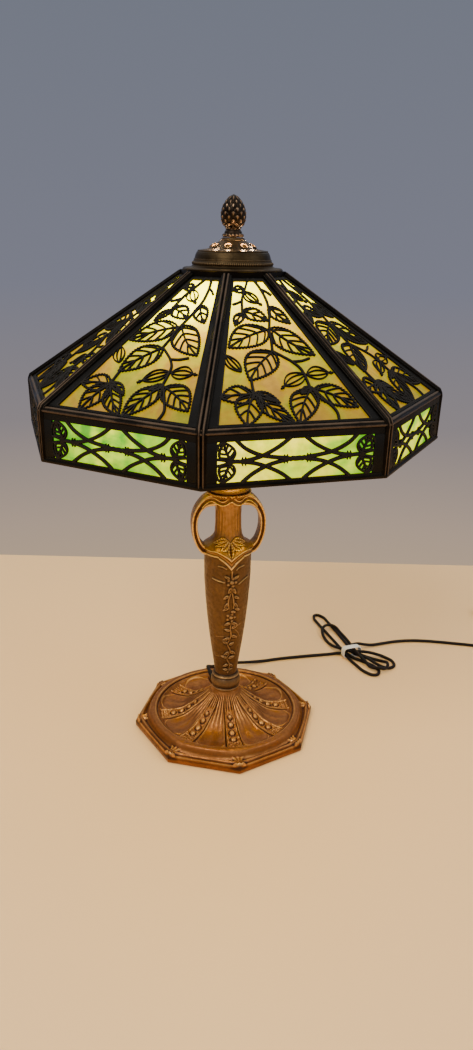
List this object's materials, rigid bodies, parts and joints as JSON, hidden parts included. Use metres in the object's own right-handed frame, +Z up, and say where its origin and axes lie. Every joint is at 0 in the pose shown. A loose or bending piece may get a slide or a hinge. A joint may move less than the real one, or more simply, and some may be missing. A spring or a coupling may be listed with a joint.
{
  "type": "stained glass table lamp",
  "caption": "Table lamp with an eight-sided slag glass shade under leaf-pattern metal overlays, on a cast urn column with two loop handles and an octagonal foot.",
  "frame": {"origin": "centre of the foot on the table", "axes": "+Z up along the column, front of the foot towards -Y, loop handles along X"},
  "size_m": [0.6508, 0.45, 0.5746],
  "materials": {
    "foot_gold": "gilded cast metal with reddish brown recesses",
    "column_bronze": "dull antique gold",
    "capital_gold": "gilded cast metal",
    "felt": "felt",
    "brass": "satin brass",
    "cord_brown": "dark brown flexible vinyl",
    "shade_metal": "dark bronze patina",
    "amber_glass": "amber slag glass",
    "green_glass": "green slag glass",
    "cap_bronze": "brown bronze patina",
    "finial_bronze": "brown bronze patina",
    "porcelain": "white porcelain",
    "bulb_glass": "frosted, lit",
    "nickel": "nickel plated",
    "knob_black": "moulded black",
    "fibre": "fibre washer",
    "tie_white": "soft white tie",
    "blade_brass": "brass blades"
  },
  "bodies": {
    "root": {"foot": "foot_gold", "felt_pad": "felt", "rod_washer": "brass", "rod_nuts": "brass", "cord_grommet": "cord_brown", "collar": "column_bronze", "column_body": "column_bronze", "handled_capital": "capital_gold", "check_ring": "capital_gold", "threaded_rod": "brass", "cluster_body": "brass", "wiring": "cord_brown", "socket_caps": "brass", "socket_shells": "brass", "socket_blocks": "porcelain", "socket_threads": "brass", "shade_holder": "brass", "finial_stud": "brass", "cord_lead": "cord_brown", "cord_hank": "cord_brown", "cord_tie": "tie_white", "cord_tail": "cord_brown", "cord_coil": "cord_brown", "plug_body": "cord_brown", "plug_blades": "blade_brass"},
    "switch_1": {"switch_knob_1": "knob_black"},
    "switch_2": {"switch_knob_2": "knob_black"},
    "bulb_1_tip": {"bulb_contact_1": "nickel"},
    "bulb_1": {"bulb_glass_1": "bulb_glass", "bulb_base_1": "nickel"},
    "bulb_2_tip": {"bulb_contact_2": "nickel"},
    "bulb_2": {"bulb_glass_2": "bulb_glass", "bulb_base_2": "nickel"},
    "shade_seat": {"seat_washer": "fibre"},
    "shade": {"crown_ring": "shade_metal", "corner_strips": "shade_metal", "eave_ring": "shade_metal", "bottom_rim": "shade_metal", "glass_clips": "shade_metal", "skirt_frames": "shade_metal", "skirt_glass": "green_glass", "slope_frame_1": "shade_metal", "slope_frame_2": "shade_metal", "slope_frame_3": "shade_metal", "slope_frame_4": "shade_metal", "slope_frame_5": "shade_metal", "slope_frame_6": "shade_metal", "slope_frame_7": "shade_metal", "slope_frame_8": "shade_metal", "slope_glass_1": "amber_glass", "slope_glass_2": "amber_glass", "slope_glass_3": "amber_glass", "slope_glass_4": "amber_glass", "slope_glass_5": "amber_glass", "slope_glass_6": "amber_glass", "slope_glass_7": "amber_glass", "slope_glass_8": "amber_glass"},
    "cap": {"shade_cap": "cap_bronze"},
    "finial_nut": {"finial_insert": "brass"},
    "finial": {"finial": "finial_bronze"}
  },
  "joints": [
    {"name": "shade_lift", "type": "slide", "parent": "root", "child": "shade_seat", "axis": [0, 0, 1], "range_m": [0, 0.25]},
    {"name": "shade_turn", "type": "hinge", "parent": "shade_seat", "child": "shade", "pos_m": [0, 0, 0.5], "axis": [0, 0, 1], "continuous": true},
    {"name": "cap_lift", "type": "slide", "parent": "shade", "child": "cap", "axis": [0, 0, 1], "range_m": [0, 0.04]},
    {"name": "finial_rise", "type": "slide", "parent": "cap", "child": "finial_nut", "axis": [0, 0, 1], "range_m": [0, 0.0113]},
    {"name": "finial_turn", "type": "hinge", "parent": "finial_nut", "child": "finial", "pos_m": [0, 0, 0.54], "axis": [0, 0, 1], "range_deg": [0, 4320]},
    {"name": "switch_1_turn", "type": "hinge", "parent": "root", "child": "switch_1", "pos_m": [0.03113, 0.0218, 0.356], "axis": [0.8192, 0.5736, 0], "continuous": true},
    {"name": "bulb_1_rise", "type": "slide", "parent": "root", "child": "bulb_1_tip", "axis": [0, 0, 1], "range_m": [0, 0.01275]},
    {"name": "bulb_1_turn", "type": "hinge", "parent": "bulb_1_tip", "child": "bulb_1", "pos_m": [0.03113, 0.0218, 0.38], "axis": [0, 0, 1], "range_deg": [0, 1260]},
    {"name": "switch_2_turn", "type": "hinge", "parent": "root", "child": "switch_2", "pos_m": [-0.03113, -0.0218, 0.356], "axis": [-0.8192, -0.5736, 0], "continuous": true},
    {"name": "bulb_2_rise", "type": "slide", "parent": "root", "child": "bulb_2_tip", "axis": [0, 0, 1], "range_m": [0, 0.01275]},
    {"name": "bulb_2_turn", "type": "hinge", "parent": "bulb_2_tip", "child": "bulb_2", "pos_m": [-0.03113, -0.0218, 0.38], "axis": [0, 0, 1], "range_deg": [0, 1260]}
  ],
  "couplings": [
    {"joint": "finial_rise", "follows": "finial_turn", "m_per_rad": 0.00014972},
    {"joint": "bulb_1_rise", "follows": "bulb_1_turn", "m_per_rad": 0.00057757},
    {"joint": "bulb_2_rise", "follows": "bulb_2_turn", "m_per_rad": 0.00057757}
  ]
}
